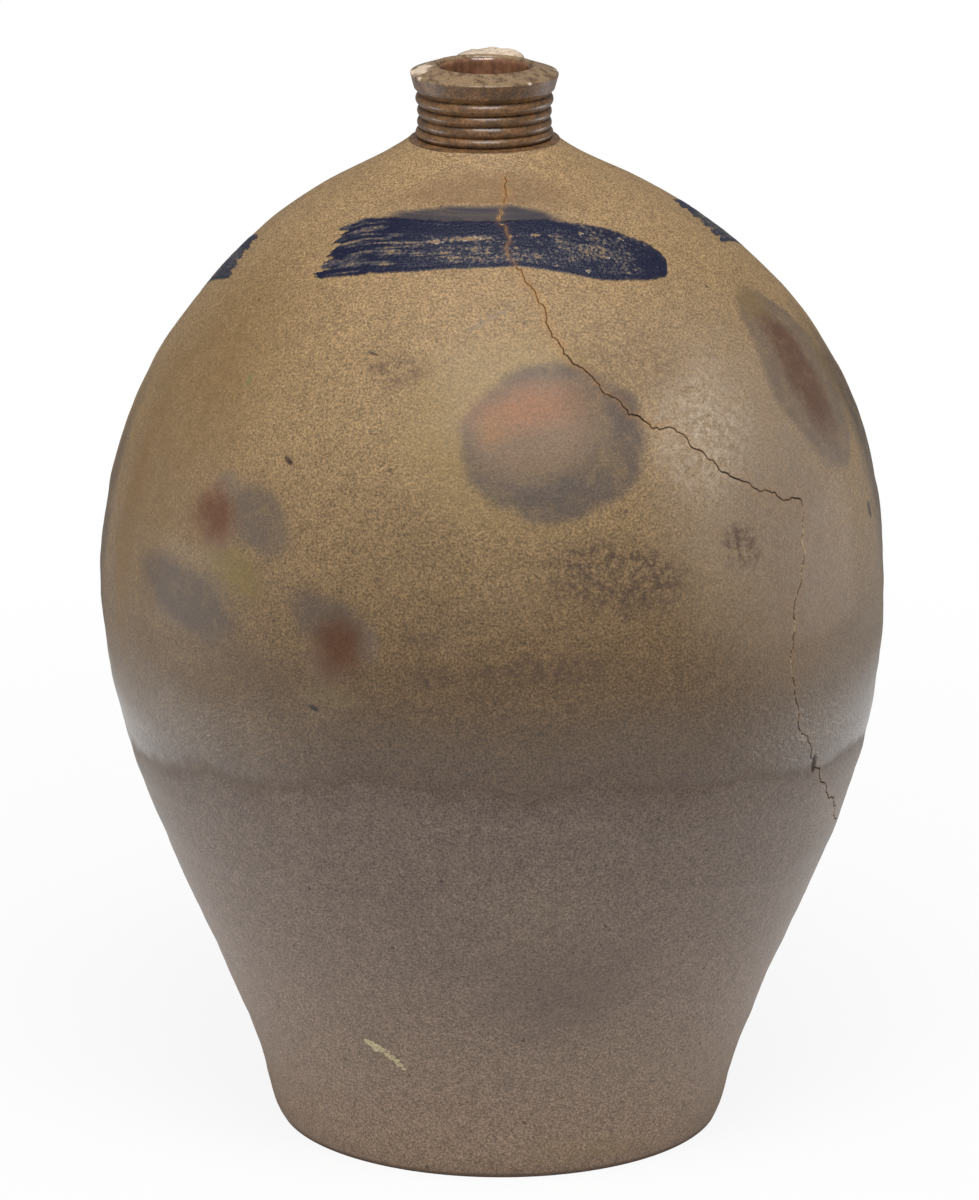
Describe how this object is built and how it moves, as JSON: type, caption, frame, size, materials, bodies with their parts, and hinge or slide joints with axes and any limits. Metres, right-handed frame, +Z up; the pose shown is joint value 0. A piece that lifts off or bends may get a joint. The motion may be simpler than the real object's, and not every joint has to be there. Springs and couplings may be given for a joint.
{
  "type": "ovoid stoneware jug",
  "caption": "Ovoid salt-glazed stoneware jug with a reeded neck, flared lip, strap handle at the back, brown slip inside and cobalt brush strokes, for holding and fermenting drink.",
  "frame": {"origin": "on the ground under the middle of the belly", "axes": "+Z up through the mouth, the decorated front faces -Y, the handle is at the back on +Y, and +X is to the right of a person facing the front"},
  "size_m": [0.3051, 0.305, 0.42],
  "materials": {
    "salt_glazed_body": "salt-glazed stoneware, tan over grey-taupe, fine orange peel, kiln kisses",
    "salt_glazed_neck": "salt-glazed stoneware, grey-brown with brown glaze in the grooves",
    "salt_glazed_handle": "salt-glazed stoneware, chipped to pale clay at the crown",
    "wire_cut_base": "bare fired stoneware with wire-cut arcs",
    "brown_slip": "glossy reddish-brown slip",
    "cobalt_slip": "brushed cobalt slip under the salt glaze, streaky"
  },
  "bodies": {
    "root": {"base_floor": "wire_cut_base", "lower_wall": "salt_glazed_body", "upper_wall": "salt_glazed_body", "reeded_spout": "salt_glazed_neck", "slip_lining": "brown_slip", "handle_strap": "salt_glazed_handle", "handle_upper_wad": "salt_glazed_handle", "handle_lower_pad": "salt_glazed_handle", "cobalt_stroke_front": "cobalt_slip", "cobalt_stroke_left": "cobalt_slip", "cobalt_stroke_right": "cobalt_slip"}
  },
  "joints": []
}
